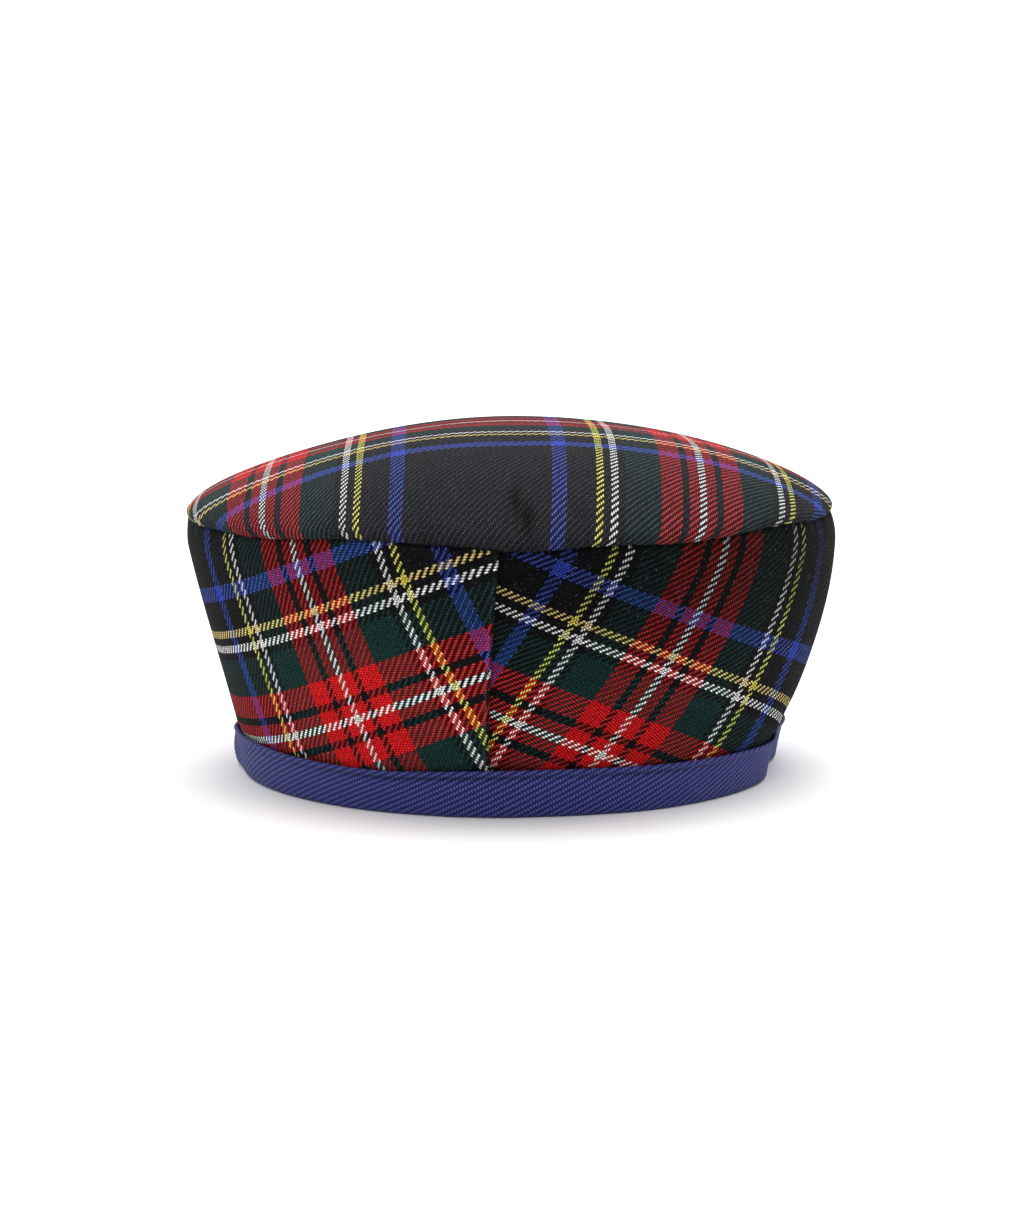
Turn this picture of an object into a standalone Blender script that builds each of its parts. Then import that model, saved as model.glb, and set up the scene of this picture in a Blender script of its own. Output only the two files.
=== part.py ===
"""A tam o shanter sewn from tartan cloth, standing on its headband.

Blender 4.5, metres, Z up. The front is toward -Y and the wearer's front seam is near it.
Azimuth is measured round the hat from the front, positive toward +X.
The origin is on the floor, under the middle of the hat's bounding box.
"""

import math

import bmesh
import bpy
from mathutils import Matrix, Vector

# Main sizes.
SEAM_RADIUS = 0.1092
SEAM_HEIGHT = 0.0865
CROWN_RISE = 0.0314
RIM_SWELL = 0.0017
RIM_RADIUS = SEAM_RADIUS + RIM_SWELL
BAND_HEIGHT = 0.0143
BAND_FOOT_RADIUS = 0.0920
BAND_FLARE = 0.0018
BAND_TOP_RADIUS = BAND_FOOT_RADIUS + BAND_FLARE
# The side wall's cone, carried down to the floor, is this far inside the headband.
FOOT_INSET = 0.0025
FOOT_RADIUS = BAND_FOOT_RADIUS - FOOT_INSET

# Cloth.
CROWN_CLOTH = 0.0016
SIDE_CLOTH = 0.0016
BAND_CLOTH = 0.0014
CLOTH_GAP = 0.0003

# The crown's curve from the middle to its edge, and the way that its edge is turned in.
CROWN_ROUNDNESS = 1.78
CROWN_FULLNESS = 1.53
CROWN_RINGS = 10
CROWN_TURN_RADIUS = 0.0021
CROWN_TURN_STEPS = 3
SEAM_ALLOWANCE = 0.0065

# The side wall curves in to the crown seam, and steps in below the top of the headband.
TUCK_DEPTH = 0.0022
TUCK_FROM = 0.88
# Above one, each moves its wall's fullest place up from half way.
BELLY_SKEW = 1.6
CROWN_SKEW = 1.5
HEM_STEP_HEIGHT = 0.0026
HEM_STEPS = 3
WALL_SLOPE = (RIM_RADIUS - FOOT_RADIUS) / SEAM_HEIGHT
WALL_SHARES = (0.24, 0.34, 0.46, 0.58, 0.69, 0.79, 0.87, 0.94)

# The side seams are lapped, each panel over the other at one of its ends.
FRONT_SEAM_DEG = -5.0
LAP_DEG = 5.0
LAP_FADE_DEG = 12.0
LAP_OFFSET = SIDE_CLOTH / 2 + CLOTH_GAP
# The front seam leans toward +X as it climbs, and draws the cloth beside it along.
SEAM_LEAN_DEG = 2.6
SEAM_LEAN_POWER = 1.6
SEAM_LEAN_FADE_DEG = 60.0

# The headband's folded section.
BAND_CORNER = 0.0012
BAND_EDGE_ROUND = 0.0004
BAND_CORNER_STEPS = 3

STEP_DEG = 5.0
FULL_TURN_DEG = 360.0
HALF_TURN_DEG = 180.0

# How the sewn hat departs from a plain round one, at each azimuth. Each value but the azimuth
# is a share of the seam radius. seam_out and hem_out are outward, seam_lift and hem_lift are
# upward, belly is the side wall's fullness half way up and crown_lift the crown's.
FORM_COLUMNS = (
    "azimuth_deg",
    "seam_out",
    "seam_lift",
    "belly",
    "hem_out",
    "hem_lift",
    "crown_lift",
)
FORM_ROWS = (
    (-150, 0.000, 0.000, 0.000, 0.000, 0.000, -0.004),
    (-120, -0.006, -0.008, 0.002, 0.002, 0.000, -0.010),
    (-90, 0.000, -0.007, 0.007, 0.000, -0.006, -0.015),
    (-65, 0.014, -0.006, 0.005, 0.011, 0.002, -0.004),
    (-45, 0.003, -0.010, 0.000, 0.012, -0.004, 0.022),
    (-25, -0.002, 0.009, -0.002, 0.010, -0.008, 0.040),
    (-10, 0.000, -0.002, 0.000, -0.002, 0.005, 0.045),
    (2, 0.002, -0.013, 0.000, -0.005, 0.010, 0.045),
    (15, 0.000, -0.001, 0.000, -0.006, 0.008, 0.045),
    (30, 0.001, -0.003, 0.000, 0.002, 0.004, 0.040),
    (50, -0.008, 0.017, 0.008, -0.002, -0.004, 0.030),
    (70, -0.014, 0.008, 0.024, -0.005, -0.010, 0.014),
    (90, -0.012, 0.010, 0.040, -0.002, 0.002, 0.000),
    (120, 0.000, 0.006, 0.010, 0.000, 0.000, 0.004),
    (150, 0.001, 0.001, 0.000, 0.000, 0.000, 0.004),
    (180, 0.000, 0.000, 0.000, 0.000, 0.000, 0.000),
)

# Soft dents, each a round hollow in the cloth. Height is a share of the crown seam's height.
# Spread is across the dent and depth is toward the hat's axis, both as shares of the seam
# radius. A depth below nothing is a swelling.
DENT_COLUMNS = ("azimuth_deg", "height", "spread", "depth")
DENT_ROWS = (
    (3, 1.08, 0.085, 0.013),
    (-38, 0.62, 0.200, 0.008),
    (40, 0.70, 0.220, 0.007),
    (80, 0.02, 0.110, 0.048),
    (-86, 0.06, 0.055, -0.022),
    (-96, 0.45, 0.240, 0.006),
    (128, 0.55, 0.260, 0.009),
    (-148, 0.60, 0.240, 0.008),
)

# Colours as linear values: the tartan seen from afar, and the blue twill.
TARTAN_COLOUR = (0.085, 0.040, 0.042, 1.0)
BAND_COLOUR = (0.030, 0.034, 0.180, 1.0)
CLOTH_ROUGHNESS = 0.85
TWILL_ROUGHNESS = 0.75


def clear_scene():
    for obj in list(bpy.data.objects):
        bpy.data.objects.remove(obj, do_unlink=True)


def cloth_material(name, colour, roughness):
    material = bpy.data.materials.new(name)
    material.use_nodes = True
    shader = material.node_tree.nodes["Principled BSDF"]
    shader.inputs["Base Color"].default_value = colour
    shader.inputs["Roughness"].default_value = roughness
    shader.inputs["Metallic"].default_value = 0.0
    material.diffuse_color = colour
    return material


def smooth_step(share):
    share = min(max(share, 0.0), 1.0)
    return share * share * (3.0 - 2.0 * share)


def wrapped(angle_deg):
    """The same angle, between minus half a turn and half a turn."""
    return (angle_deg + HALF_TURN_DEG) % FULL_TURN_DEG - HALF_TURN_DEG


def form_at(azimuth_deg, column):
    """A column of the form table at any azimuth, by a smooth curve through its rows."""
    place = FORM_COLUMNS.index(column)
    count = len(FORM_ROWS)
    angle = wrapped(azimuth_deg)
    if angle < FORM_ROWS[0][0]:
        angle += FULL_TURN_DEG
    first = max(index for index in range(count) if FORM_ROWS[index][0] <= angle)

    def row(index):
        turns, within = divmod(index, count)
        return FORM_ROWS[within][0] + FULL_TURN_DEG * turns, FORM_ROWS[within][place]

    before, start, end, after = (row(first + offset) for offset in (-1, 0, 1, 2))
    width = end[0] - start[0]
    share = (angle - start[0]) / width
    leaving = (end[1] - before[1]) / (end[0] - before[0]) * width
    arriving = (after[1] - start[1]) / (after[0] - start[0]) * width
    rest = 1.0 - share
    return (
        rest * rest * (1.0 + 2.0 * share) * start[1]
        + share * share * (3.0 - 2.0 * share) * end[1]
        + share * rest * rest * leaving
        - share * share * rest * arriving
    )


def dent_at(azimuth_deg, height):
    """How far the soft dents push the cloth inward at this place."""
    total = 0.0
    for row in DENT_ROWS:
        dent = dict(zip(DENT_COLUMNS, row))
        across = math.radians(wrapped(azimuth_deg - dent["azimuth_deg"]))
        up = (height - dent["height"] * SEAM_HEIGHT) / SEAM_RADIUS
        away = (across * across + up * up) / (2.0 * dent["spread"] ** 2)
        total += dent["depth"] * math.exp(-away)
    return total * SEAM_RADIUS


def lap_share(azimuth_deg, seam_deg):
    """One where two panels lap at this seam, and nothing away from it."""
    middle = seam_deg - LAP_DEG / 2
    away = abs(wrapped(azimuth_deg - middle)) - LAP_DEG / 2
    return 1.0 - smooth_step(away / LAP_FADE_DEG)


def leaned_point(point, azimuth_deg):
    """Turns a point near the front seam with the seam's lean."""
    rise = (point.z - BAND_HEIGHT) / (SEAM_HEIGHT - BAND_HEIGHT)
    away = abs(wrapped(azimuth_deg - FRONT_SEAM_DEG)) / SEAM_LEAN_FADE_DEG
    turn = SEAM_LEAN_DEG * max(rise, 0.0) ** SEAM_LEAN_POWER * (1.0 - smooth_step(away))
    return Matrix.Rotation(math.radians(turn), 3, "Z") @ point


def shaped_point(point, lap):
    """Moves a point of the plain round hat to its place in the sewn one."""
    radius = math.hypot(point.x, point.y)
    above_seam = max(point.z - SEAM_HEIGHT, 0.0) / CROWN_RISE
    if radius < CLOTH_GAP:
        return point.copy()
    azimuth = math.degrees(math.atan2(point.x, -point.y))
    up = min(max(point.z / SEAM_HEIGHT, 0.0), 1.0)
    edge = min(radius / SEAM_RADIUS, 1.0) if above_seam > 0.0 else 1.0
    hem = 1.0 - smooth_step((point.z - BAND_HEIGHT) / (SEAM_HEIGHT - BAND_HEIGHT))
    crown_share = math.sin(math.pi * min(above_seam, 1.0) ** CROWN_SKEW)
    outward = form_at(azimuth, "seam_out") * (1.0 - hem) * edge
    outward += form_at(azimuth, "hem_out") * hem
    outward += form_at(azimuth, "belly") * math.sin(math.pi * up**BELLY_SKEW)
    upward = form_at(azimuth, "seam_lift") * smooth_step(up) * (1.0 - above_seam) ** 2
    upward += form_at(azimuth, "crown_lift") * crown_share
    # The hem's lift moves the top of the headband and leaves its foot on the floor.
    near_hem = math.exp(-(((point.z - BAND_HEIGHT) / BAND_HEIGHT) ** 2))
    upward += form_at(azimuth, "hem_lift") * near_hem * min(point.z / BAND_HEIGHT, 1.0)
    new_radius = radius + outward * SEAM_RADIUS + lap
    new_radius -= dent_at(azimuth, point.z) * edge
    scale = new_radius / radius
    return Vector((point.x * scale, point.y * scale, point.z + upward * SEAM_RADIUS))


def band_radius(height):
    """The headband's outer face."""
    return BAND_FOOT_RADIUS + (BAND_TOP_RADIUS - BAND_FOOT_RADIUS) * height / BAND_HEIGHT


def side_radius(height):
    """The side wall's outer face, which steps in where the headband covers it."""
    share = height / SEAM_HEIGHT
    cone = FOOT_RADIUS + (RIM_RADIUS - FOOT_RADIUS) * share
    tuck = max(share - TUCK_FROM, 0.0) / (1.0 - TUCK_FROM)
    cone -= TUCK_DEPTH * tuck * tuck
    covered = band_radius(height) - BAND_CLOTH - CLOTH_GAP
    out = smooth_step((height - BAND_HEIGHT - CLOTH_GAP) / HEM_STEP_HEIGHT)
    return covered + (cone - covered) * out


def crown_line():
    """The crown's outer face from its middle to the edge turned in along the seam."""
    under = SEAM_HEIGHT + CLOTH_GAP / 2
    spring = under + CROWN_TURN_RADIUS
    rise = SEAM_HEIGHT + CROWN_RISE - spring
    line = []
    for ring in range(CROWN_RINGS + 1):
        out = math.sin(math.pi / 2 * ring / CROWN_RINGS)
        up = (1.0 - out**CROWN_ROUNDNESS) ** (1.0 / CROWN_FULLNESS)
        line.append((SEAM_RADIUS * out, spring + rise * up))
    centre = SEAM_RADIUS - CROWN_TURN_RADIUS
    for step in range(1, CROWN_TURN_STEPS + 1):
        angle = math.pi / 2 * step / CROWN_TURN_STEPS
        line.append(
            (
                centre + CROWN_TURN_RADIUS * math.cos(angle),
                spring - CROWN_TURN_RADIUS * math.sin(angle),
            )
        )
    line.append((SEAM_RADIUS - SEAM_ALLOWANCE, under))
    return line


def hem_heights():
    """The heights at which the side wall and the headband round it both have points."""
    foot = BAND_CLOTH + CLOTH_GAP + SIDE_CLOTH * WALL_SLOPE / 2
    return [foot + (BAND_HEIGHT - foot) * step / HEM_STEPS for step in range(HEM_STEPS + 1)]


def side_line():
    """The side wall's outer face from its top edge to its foot inside the headband."""
    top = SEAM_HEIGHT - CLOTH_GAP - SIDE_CLOTH * WALL_SLOPE / 2
    step = BAND_HEIGHT + CLOTH_GAP
    heights = hem_heights() + [step + HEM_STEP_HEIGHT / 2, step + HEM_STEP_HEIGHT]
    heights += [share * SEAM_HEIGHT for share in WALL_SHARES]
    heights.append(top)
    return [(side_radius(height), height) for height in reversed(heights)]


def rounded_corner(centre, radius, first_deg, last_deg, steps):
    """Points of a quarter turn in the section's plane."""
    points = []
    for step in range(steps + 1):
        angle = math.radians(first_deg + (last_deg - first_deg) * step / steps)
        points.append(
            (centre[0] + radius * math.cos(angle), centre[1] + radius * math.sin(angle))
        )
    return points


def band_section():
    """The closed section of the headband: outer leg, flat foot, inner leg and the slot between."""
    cloth_and_gaps = SIDE_CLOTH + 2 * CLOTH_GAP

    def outer_face(height, inward):
        return band_radius(height) - inward

    inner_depth = 2 * BAND_CLOTH + cloth_and_gaps
    middle = BAND_HEIGHT / 2
    slot_heights = [BAND_CLOTH] + hem_heights()
    section = [
        (outer_face(BAND_HEIGHT, BAND_EDGE_ROUND), BAND_HEIGHT),
        (outer_face(BAND_HEIGHT, 0.0), BAND_HEIGHT - BAND_EDGE_ROUND),
        (outer_face(middle, 0.0), middle),
    ]
    section += rounded_corner(
        (outer_face(BAND_CORNER, BAND_CORNER), BAND_CORNER),
        BAND_CORNER,
        0.0,
        -90.0,
        BAND_CORNER_STEPS,
    )
    section += rounded_corner(
        (outer_face(BAND_CORNER, inner_depth - BAND_CORNER), BAND_CORNER),
        BAND_CORNER,
        -90.0,
        -180.0,
        BAND_CORNER_STEPS,
    )
    section += [
        (outer_face(middle, inner_depth), middle),
        (outer_face(BAND_HEIGHT, inner_depth), BAND_HEIGHT),
    ]
    inner_slot = inner_depth - BAND_CLOTH
    section += [(outer_face(height, inner_slot), height) for height in reversed(slot_heights)]
    section += [(outer_face(height, BAND_CLOTH), height) for height in slot_heights]
    return section


def spun_mesh(name, line, closed_line, first_deg, last_deg):
    """Spins a line of radius and height round the hat's axis, as Blender's Spin does."""
    mesh = bpy.data.meshes.new(name)
    work = bmesh.new()
    start = math.radians(first_deg)
    points = [
        work.verts.new((radius * math.sin(start), -radius * math.cos(start), height))
        for radius, height in line
    ]
    edges = [work.edges.new(pair) for pair in zip(points, points[1:])]
    if closed_line:
        edges.append(work.edges.new((points[-1], points[0])))
    bmesh.ops.spin(
        work,
        geom=points + edges,
        cent=(0.0, 0.0, 0.0),
        axis=(0.0, 0.0, 1.0),
        angle=math.radians(last_deg - first_deg),
        steps=round((last_deg - first_deg) / STEP_DEG),
    )
    bmesh.ops.remove_doubles(work, verts=work.verts, dist=CLOTH_GAP / 10)
    bmesh.ops.recalc_face_normals(work, faces=work.faces)
    for face in work.faces:
        face.smooth = True
    work.to_mesh(mesh)
    work.free()
    return mesh


def placed(mesh, name, material, collection):
    mesh.materials.append(material)
    obj = bpy.data.objects.new(name, mesh)
    collection.objects.link(obj)
    return obj


def face_outward(mesh):
    """Turns the faces so that the hat's outside is the front of an open sheet."""
    work = bmesh.new()
    work.from_mesh(mesh)
    outward = sum(
        face.calc_area() * face.normal.dot(face.calc_center_median())
        for face in work.faces
    )
    if outward < 0.0:
        bmesh.ops.reverse_faces(work, faces=work.faces)
    work.to_mesh(mesh)
    work.free()


def thickened(obj, thickness):
    """Gives an outer face its cloth, which lies on its inner side."""
    solid = obj.modifiers.new("cloth", "SOLIDIFY")
    solid.thickness = thickness
    solid.offset = -1.0
    solid.use_even_offset = True
    solid.use_rim = True
    return obj


def make_crown(material, collection):
    mesh = spun_mesh("crown_top", crown_line(), False, 0.0, FULL_TURN_DEG)
    face_outward(mesh)
    for vertex in mesh.vertices:
        vertex.co = shaped_point(vertex.co, 0.0)
    return thickened(placed(mesh, "crown_top", material, collection), CROWN_CLOTH)


def make_side_panel(name, over_seam_deg, material, collection):
    """Half of the side wall. It laps over its neighbour at one seam and under it at the other."""
    first = over_seam_deg - HALF_TURN_DEG - LAP_DEG
    mesh = spun_mesh(name, side_line(), False, first, over_seam_deg)
    face_outward(mesh)
    under_seam_deg = over_seam_deg - HALF_TURN_DEG
    for vertex in mesh.vertices:
        azimuth = math.degrees(math.atan2(vertex.co.x, -vertex.co.y))
        lap = lap_share(azimuth, over_seam_deg) - lap_share(azimuth, under_seam_deg)
        vertex.co = shaped_point(leaned_point(vertex.co, azimuth), lap * LAP_OFFSET)
    return thickened(placed(mesh, name, material, collection), SIDE_CLOTH)


def make_headband(material, collection):
    mesh = spun_mesh("headband", band_section(), True, 0.0, FULL_TURN_DEG)
    middle_inset = BAND_CLOTH + CLOTH_GAP + SIDE_CLOTH / 2
    for vertex in mesh.vertices:
        azimuth = math.degrees(math.atan2(vertex.co.x, -vertex.co.y))
        radius = math.hypot(vertex.co.x, vertex.co.y)
        side = 1.0 if radius > band_radius(vertex.co.z) - middle_inset else -1.0
        lap = lap_share(azimuth, FRONT_SEAM_DEG)
        lap += lap_share(azimuth, FRONT_SEAM_DEG + HALF_TURN_DEG)
        vertex.co = shaped_point(vertex.co, side * lap * LAP_OFFSET)
    return placed(mesh, "headband", material, collection)


def centre_on_floor(objects):
    """Puts the middle of the hat's bounding box over the origin."""
    bpy.context.view_layer.update()
    corners = [obj.matrix_world @ Vector(corner) for obj in objects for corner in obj.bound_box]
    middle_x = (min(c.x for c in corners) + max(c.x for c in corners)) / 2
    middle_y = (min(c.y for c in corners) + max(c.y for c in corners)) / 2
    for obj in objects:
        for vertex in obj.data.vertices:
            vertex.co -= Vector((middle_x, middle_y, 0.0))


def main():
    clear_scene()
    collection = bpy.data.collections.new("tam_o_shanter")
    bpy.context.scene.collection.children.link(collection)
    tartan_crown = cloth_material("tartan_crown_cloth", TARTAN_COLOUR, CLOTH_ROUGHNESS)
    tartan_side = cloth_material("tartan_side_cloth", TARTAN_COLOUR, CLOTH_ROUGHNESS)
    twill = cloth_material("blue_twill", BAND_COLOUR, TWILL_ROUGHNESS)
    back_seam_deg = FRONT_SEAM_DEG + HALF_TURN_DEG
    objects = [
        make_crown(tartan_crown, collection),
        make_side_panel("side_panel_left", FRONT_SEAM_DEG, tartan_side, collection),
        make_side_panel("side_panel_right", back_seam_deg, tartan_side, collection),
        make_headband(twill, collection),
    ]
    centre_on_floor(objects)


main()
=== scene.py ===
"""The looks of a tam o shanter in worsted tartan with a twill headband, on a pale floor.

Each piece of cloth is built over its CAD solid by the same rules as the solid, with many
more rows and columns, turned edges and small puckers. Lengths are in metres and azimuth is
in degrees round the hat from the front, positive toward +X.
"""

import math

import bmesh
import bpy
import numpy as np
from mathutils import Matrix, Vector


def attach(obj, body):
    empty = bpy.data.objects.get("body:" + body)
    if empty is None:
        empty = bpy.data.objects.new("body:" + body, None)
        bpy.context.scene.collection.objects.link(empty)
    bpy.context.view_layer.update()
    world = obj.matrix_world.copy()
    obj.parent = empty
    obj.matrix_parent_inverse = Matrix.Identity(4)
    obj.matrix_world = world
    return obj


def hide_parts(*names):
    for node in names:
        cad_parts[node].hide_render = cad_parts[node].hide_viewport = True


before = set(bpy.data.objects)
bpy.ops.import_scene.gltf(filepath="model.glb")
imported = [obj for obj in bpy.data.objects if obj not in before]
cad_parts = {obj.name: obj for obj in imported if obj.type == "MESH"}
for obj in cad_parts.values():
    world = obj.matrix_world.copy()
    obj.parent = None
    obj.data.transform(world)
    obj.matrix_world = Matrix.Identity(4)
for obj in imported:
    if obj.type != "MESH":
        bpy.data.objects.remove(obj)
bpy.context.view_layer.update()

BODY = "root"
MM = 0.001

# ---------------------------------------------------------------------------
# The hat's form, as in the CAD source.
# ---------------------------------------------------------------------------
SEAM_RADIUS = 0.1092
SEAM_HEIGHT = 0.0865
CROWN_RISE = 0.0314
RIM_RADIUS = 0.1109
FOOT_RADIUS = 0.0895
BAND_HEIGHT = 0.0143
BAND_FOOT_RADIUS = 0.0920
BAND_TOP_RADIUS = 0.0938
CROWN_CLOTH = 0.0016
SIDE_CLOTH = 0.0016
BAND_CLOTH = 0.0014
CLOTH_GAP = 0.0003
CROWN_ROUNDNESS = 1.78
CROWN_FULLNESS = 1.53
CROWN_TURN_RADIUS = 0.0021
SEAM_ALLOWANCE = 0.0065
TUCK_DEPTH = 0.0022
TUCK_FROM = 0.88
BELLY_SKEW = 1.6
CROWN_SKEW = 1.5
HEM_STEP_HEIGHT = 0.0026
FRONT_SEAM_DEG = -5.0
BACK_SEAM_DEG = 175.0
LAP_DEG = 5.0
LAP_FADE_DEG = 12.0
LAP_OFFSET = SIDE_CLOTH / 2 + CLOTH_GAP
SEAM_LEAN_DEG = 2.6
SEAM_LEAN_POWER = 1.6
SEAM_LEAN_FADE_DEG = 60.0

FORM_COLUMNS = (
    "azimuth_deg",
    "seam_out",
    "seam_lift",
    "belly",
    "hem_out",
    "hem_lift",
    "crown_lift",
)
FORM_ROWS = (
    (-150, 0.000, 0.000, 0.000, 0.000, 0.000, -0.004),
    (-120, -0.006, -0.008, 0.002, 0.002, 0.000, -0.010),
    (-90, 0.000, -0.007, 0.007, 0.000, -0.006, -0.015),
    (-65, 0.014, -0.006, 0.005, 0.011, 0.002, -0.004),
    (-45, 0.003, -0.010, 0.000, 0.012, -0.004, 0.022),
    (-25, -0.002, 0.009, -0.002, 0.010, -0.008, 0.040),
    (-10, 0.000, -0.002, 0.000, -0.002, 0.005, 0.045),
    (2, 0.002, -0.013, 0.000, -0.005, 0.010, 0.045),
    (15, 0.000, -0.001, 0.000, -0.006, 0.008, 0.045),
    (30, 0.001, -0.003, 0.000, 0.002, 0.004, 0.040),
    (50, -0.008, 0.017, 0.008, -0.002, -0.004, 0.030),
    (70, -0.014, 0.008, 0.024, -0.005, -0.010, 0.014),
    (90, -0.012, 0.010, 0.040, -0.002, 0.002, 0.000),
    (120, 0.000, 0.006, 0.010, 0.000, 0.000, 0.004),
    (150, 0.001, 0.001, 0.000, 0.000, 0.000, 0.004),
    (180, 0.000, 0.000, 0.000, 0.000, 0.000, 0.000),
)

# Soft dents: azimuth, height as a share of the seam's, spread and depth as shares of its radius.
DENT_ROWS = (
    (3, 1.08, 0.085, 0.013),
    (-38, 0.62, 0.200, 0.008),
    (40, 0.70, 0.220, 0.007),
    (80, 0.02, 0.110, 0.048),
    (-86, 0.06, 0.055, -0.022),
    (-96, 0.45, 0.240, 0.006),
    (128, 0.55, 0.260, 0.009),
    (-148, 0.60, 0.240, 0.008),
)

# Small puckers that the CAD leaves out: azimuth, height, the half widths along and up the
# cloth, and the depth inward, the lengths in millimetres.
PUCKER_COLUMNS = ("azimuth_deg", "height_mm", "along_mm", "up_mm", "depth_mm")
PUCKER_ROWS = (
    (0.6, 97.0, 1.3, 2.4, 1.90),
    (2.6, 93.0, 1.7, 2.6, 2.10),
    (-1.5, 95.0, 1.6, 3.0, -0.50),
    (-2.0, 91.0, 3.0, 3.2, -0.30),
    (6.5, 91.0, 3.2, 3.4, -0.35),
    (-15.0, 91.5, 3.4, 4.0, 0.35),
    (12.0, 91.0, 3.0, 4.0, 0.35),
    (27.0, 92.0, 4.0, 5.0, 0.30),
    (-31.0, 91.0, 4.0, 4.5, 0.30),
    (48.0, 92.0, 5.0, 4.5, 0.30),
    (-58.0, 91.0, 5.0, 4.5, 0.30),
    (72.0, 92.0, 4.0, 5.0, 0.40),
    (-82.0, 90.0, 5.0, 5.0, 0.40),
    (104.0, 91.0, 5.0, 5.0, 0.35),
    (140.0, 91.0, 5.0, 5.0, 0.35),
    (172.0, 91.0, 3.5, 5.0, 0.45),
    (-160.0, 91.0, 4.0, 5.0, 0.35),
    (-125.0, 91.0, 5.0, 5.0, 0.35),
)

# Ripples along the crown seam: how many there are round the hat, their height and phase.
RIPPLE_ROWS = ((23, 0.16, 0.4), (37, 0.13, 2.1), (59, 0.10, 4.4), (83, 0.07, 1.2))
RIPPLE_REACH_MM = 4.5

# ---------------------------------------------------------------------------
# How finely each piece is built.
# ---------------------------------------------------------------------------
CROWN_COLUMNS = 540
CROWN_DOME_ROWS = 62
CROWN_TURN_ROWS = 8
CROWN_ALLOWANCE_ROWS = 6
PANEL_STEP_DEG = 0.42
PANEL_WALL_ROWS = 66
PANEL_HEM_ROWS = 12
BAND_STEP_DEG = 0.6
# Points round the edge of the cloth, from one face to the other, and the columns of points that
# round off a piece's two ends.
EDGE_STEPS = 6
END_COLUMNS = EDGE_STEPS // 2
MERGE_DISTANCE = 0.002 * MM
TINY = 1e-12

# ---------------------------------------------------------------------------
# Colours, as sRGB hex.
# ---------------------------------------------------------------------------
# The power between light and the lightness that the eye sees.
EYE_GAMMA = 2.2
BLACK = "121215"
BLUE = "334bba"
LEMON = "d9d84a"
GOLD = "dfc05f"
WHITE = "e2e2df"
GREEN = "153430"
RED = "d8191c"
# The grey of lint specks, and of the painted sheen.
LINT_AND_SHEEN_GREY = "8a8a92"
# The navy twill's colours: painted shade for its grooves and its weft, its navy, and a painted
# highlight for each knuckle's crest.
TWILL_SHADE = "10123a"
TWILL_WEFT_SHADE = "12143b"
TWILL_NAVY = "2c3072"
TWILL_CREST_HIGHLIGHT = "5058a6"
PAPER = "f2f2f2"


def linear(code):
    """A linear colour from an sRGB hex code."""
    parts = [int(code[i : i + 2], 16) / 255 for i in (0, 2, 4)]
    return tuple(
        [c / 12.92 if c <= 0.04045 else ((c + 0.055) / 1.055) ** 2.4 for c in parts] + [1.0]
    )


def add(tree, kind, feeds=None, **settings):
    """Adds a node with its settings. feeds gives a socket the socket or value that feeds it."""
    made = tree.nodes.new(kind)
    for name, value in settings.items():
        setattr(made, name, value)
    for socket, value in (feeds or {}).items():
        if isinstance(value, bpy.types.NodeSocket):
            tree.links.new(value, made.inputs[socket])
        else:
            made.inputs[socket].default_value = value
    return made


# ---------------------------------------------------------------------------
# Form.
# ---------------------------------------------------------------------------
def smooth_step(share):
    share = np.clip(share, 0.0, 1.0)
    return share * share * (3.0 - 2.0 * share)


def wrapped(angle_deg):
    return (np.asarray(angle_deg) + 180.0) % 360.0 - 180.0


def form_at(azimuth, column):
    """A column of the form table at each azimuth, by a smooth curve through its rows."""
    place = FORM_COLUMNS.index(column)
    knots = np.array([row[0] for row in FORM_ROWS], float)
    values = np.array([row[place] for row in FORM_ROWS], float)
    knots = np.concatenate([knots[-2:] - 360.0, knots, knots[:3] + 360.0])
    values = np.concatenate([values[-2:], values, values[:3]])
    angle = wrapped(azimuth)
    first = np.clip(np.searchsorted(knots, angle, side="right") - 1, 1, len(knots) - 3)
    before, start, end, after = (knots[first + k] for k in (-1, 0, 1, 2))
    was, now, soon, later = (values[first + k] for k in (-1, 0, 1, 2))
    width = end - start
    share = (angle - start) / width
    leaving = (soon - was) / (end - before) * width
    arriving = (later - now) / (after - start) * width
    rest = 1.0 - share
    return (
        rest * rest * (1.0 + 2.0 * share) * now
        + share * share * (3.0 - 2.0 * share) * soon
        + share * rest * rest * leaving
        - share * share * rest * arriving
    )


def dent_at(azimuth, height):
    total = np.zeros(np.broadcast(azimuth, height).shape)
    for dent_azimuth, dent_height, spread, depth in DENT_ROWS:
        across = np.radians(wrapped(azimuth - dent_azimuth))
        up = (height - dent_height * SEAM_HEIGHT) / SEAM_RADIUS
        total = total + depth * np.exp(-(across**2 + up**2) / (2.0 * spread**2))
    return total * SEAM_RADIUS


def pucker_at(azimuth, height):
    """How far the small puckers and the ripples of the crown seam push the cloth inward."""
    total = np.zeros(np.broadcast(azimuth, height).shape)
    for row in PUCKER_ROWS:
        pucker = dict(zip(PUCKER_COLUMNS, row))
        along = np.radians(wrapped(azimuth - pucker["azimuth_deg"])) * SEAM_RADIUS / MM
        up = height / MM - pucker["height_mm"]
        reach = (along / pucker["along_mm"]) ** 2 + (up / pucker["up_mm"]) ** 2
        total = total + pucker["depth_mm"] * np.exp(-reach / 2.0)
    near_seam = np.exp(-(((height - SEAM_HEIGHT) / MM / RIPPLE_REACH_MM) ** 2))
    for count, size, phase in RIPPLE_ROWS:
        total = total + near_seam * size * np.sin(np.radians(azimuth) * count + phase)
    return total * MM


def lap_share(azimuth, seam_deg):
    """One where two panels lap at this seam, and nothing away from it."""
    middle = seam_deg - LAP_DEG / 2
    away = np.abs(wrapped(azimuth - middle)) - LAP_DEG / 2
    return 1.0 - smooth_step(away / LAP_FADE_DEG)


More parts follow.
